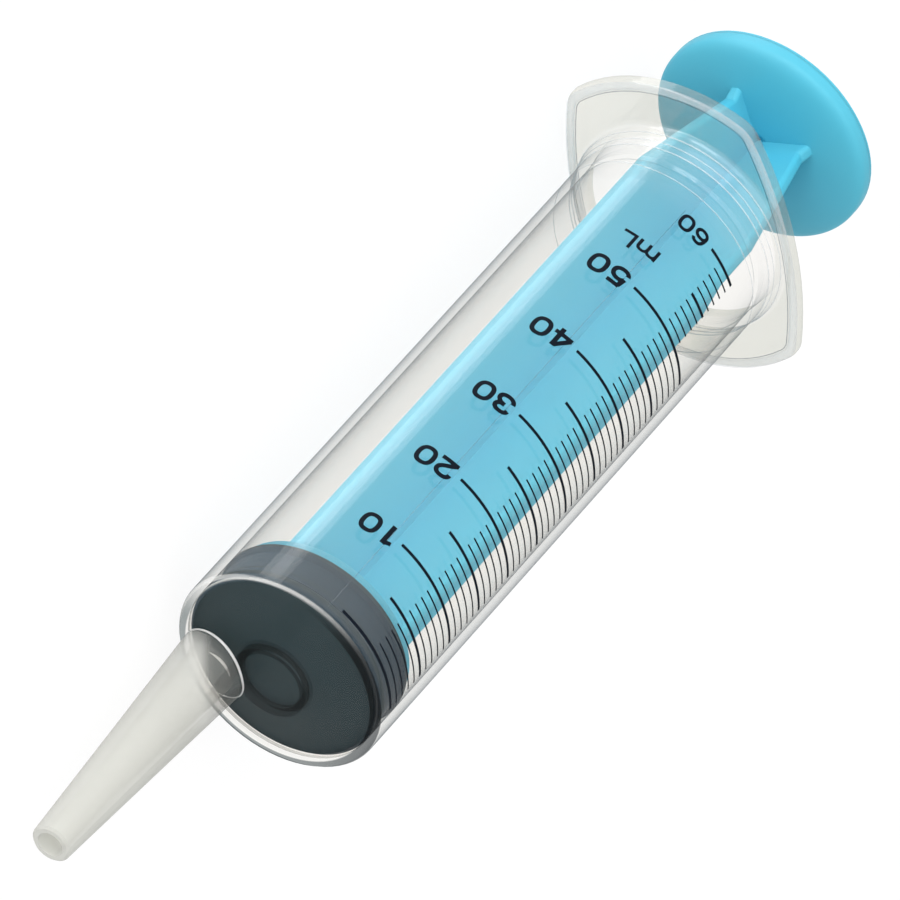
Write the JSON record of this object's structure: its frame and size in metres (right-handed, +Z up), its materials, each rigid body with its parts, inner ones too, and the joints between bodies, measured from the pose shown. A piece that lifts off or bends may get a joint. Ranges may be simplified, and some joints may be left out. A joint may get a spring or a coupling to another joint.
{
  "type": "pet feeding syringe",
  "caption": "Hand-pushed feeding syringe: clear barrel with an off-centre tapered nozzle and finger flange, and a rubber gasket on a ribbed plunger that slides to draw in and push out liquid.",
  "frame": {"origin": "on the surface that the syringe lies on, under the middle of its length and under its axis", "axes": "+X along the barrel towards the nozzle, +Z up, away from the side that the nozzle is moved to; +Y along the long side of the finger flange"},
  "size_m": [0.1696, 0.0476, 0.0352],
  "materials": {
    "clear_barrel": "clear moulded polypropylene, frosted on the nozzle, with a black printed scale",
    "gasket_rubber": "dark grey moulded rubber",
    "blue_plunger": "light blue moulded plastic with a satin face"
  },
  "bodies": {
    "barrel": {"barrel": "clear_barrel"},
    "gasket": {"gasket": "gasket_rubber"},
    "plunger": {"plunger": "blue_plunger"}
  },
  "joints": [
    {"name": "plunger_slide", "type": "slide", "parent": "barrel", "child": "gasket", "axis": [-1, 0, 0], "range_m": [0, 0.0896]},
    {"name": "plunger_turn", "type": "hinge", "parent": "gasket", "child": "plunger", "pos_m": [0.04083, 0, 0.0176], "axis": [-1, 0, 0], "continuous": true}
  ]
}
